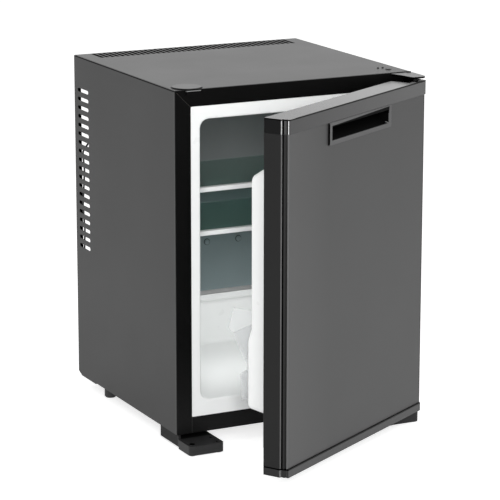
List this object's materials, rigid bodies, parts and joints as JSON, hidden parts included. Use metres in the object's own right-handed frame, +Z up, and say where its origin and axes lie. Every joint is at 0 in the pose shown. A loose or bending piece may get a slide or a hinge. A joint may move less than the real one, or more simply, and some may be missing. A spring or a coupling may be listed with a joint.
{
  "type": "refrigerator",
  "caption": "Small free-standing refrigerator with a hinged insulated door, glass shelves, a door bottle rack and a vented absorption cooling unit behind.",
  "frame": {"origin": "middle of the footprint with the door ajar, on the surface that the feet stand on", "axes": "+X to the right seen from the front, +Y to the back of the cabinet, +Z up"},
  "size_m": [0.4048, 0.6234, 0.5544],
  "materials": {
    "wrap_paint": "satin graphite powder coat",
    "frame_black": "smooth black plastic",
    "liner_white": "white formed plastic",
    "insulation": "cream rigid foam",
    "zinc_plate": "zinc-coated steel",
    "black_steel": "black enamelled steel",
    "shield_grey": "dark grey-green coated aluminium",
    "shelf_glass": "clear float glass with a green edge",
    "trim_white": "white moulded plastic",
    "door_paint": "satin graphite powder coat",
    "cap_graphite": "graphite moulded plastic",
    "handle_black": "black moulded plastic",
    "seal_rubber": "soft dark rubber",
    "clear_plastic": "clear moulded plastic",
    "bracket_grey": "light grey coated steel",
    "bush_plastic": "pale acetal",
    "bright_steel": "turned steel",
    "foot_black": "black moulded plastic",
    "foot_rubber": "black rubber"
  },
  "bodies": {
    "cabinet": {"absorber_coil": "black_steel", "absorber_vessel": "black_steel", "access_plate": "zinc_plate", "access_screw_lower": "bright_steel", "access_screw_upper": "bright_steel", "back_plate": "zinc_plate", "base_pan": "black_steel", "boiler_casing": "zinc_plate", "bottom_hinge_pin": "bright_steel", "bracket_screw_1": "black_steel", "bracket_screw_2": "black_steel", "bracket_screw_3": "black_steel", "cabinet_foam": "insulation", "condenser_fins": "zinc_plate", "condenser_pipe": "black_steel", "control_box": "black_steel", "drip_channel": "liner_white", "evaporator_fins": "zinc_plate", "evaporator_shield": "shield_grey", "frame_bottom": "frame_black", "frame_left": "frame_black", "frame_right": "frame_black", "frame_top": "frame_black", "front_foot_left": "foot_black", "front_foot_right": "foot_black", "glide_left_inner": "bush_plastic", "glide_left_outer": "bush_plastic", "glide_right_inner": "bush_plastic", "glide_right_outer": "bush_plastic", "heat_exchanger": "black_steel", "hinge_hole_plug": "frame_black", "inner_liner": "liner_white", "mains_inlet": "frame_black", "outer_wrap": "wrap_paint", "rear_foot_left": "foot_rubber", "rear_foot_right": "foot_rubber", "rear_tray": "black_steel", "sensor_lead": "seal_rubber", "shelf_glass_lower": "shelf_glass", "shelf_glass_upper": "shelf_glass", "shelf_trim_lower": "trim_white", "shelf_trim_upper": "trim_white", "shield_bolt_left": "shield_grey", "shield_bolt_right": "shield_grey", "top_hinge_bracket": "bracket_grey", "top_hinge_pin": "bright_steel", "unit_strap": "zinc_plate", "vapour_pipe": "black_steel"},
    "door": {"bottle_rack": "clear_plastic", "bottom_hinge_bush": "bush_plastic", "door_cap_bottom": "cap_graphite", "door_cap_top": "cap_graphite", "door_edge_left": "door_paint", "door_edge_right": "door_paint", "door_foam": "insulation", "door_front_panel": "door_paint", "door_gasket": "seal_rubber", "door_liner": "liner_white", "handle_insert": "handle_black", "top_hinge_bush": "bush_plastic"}
  },
  "joints": [
    {"name": "door_hinge", "type": "hinge", "parent": "cabinet", "child": "door", "pos_m": [0.18863, -0.10133, 0.2825], "axis": [0, 0, 1], "range_deg": [-30.78, 84]}
  ]
}
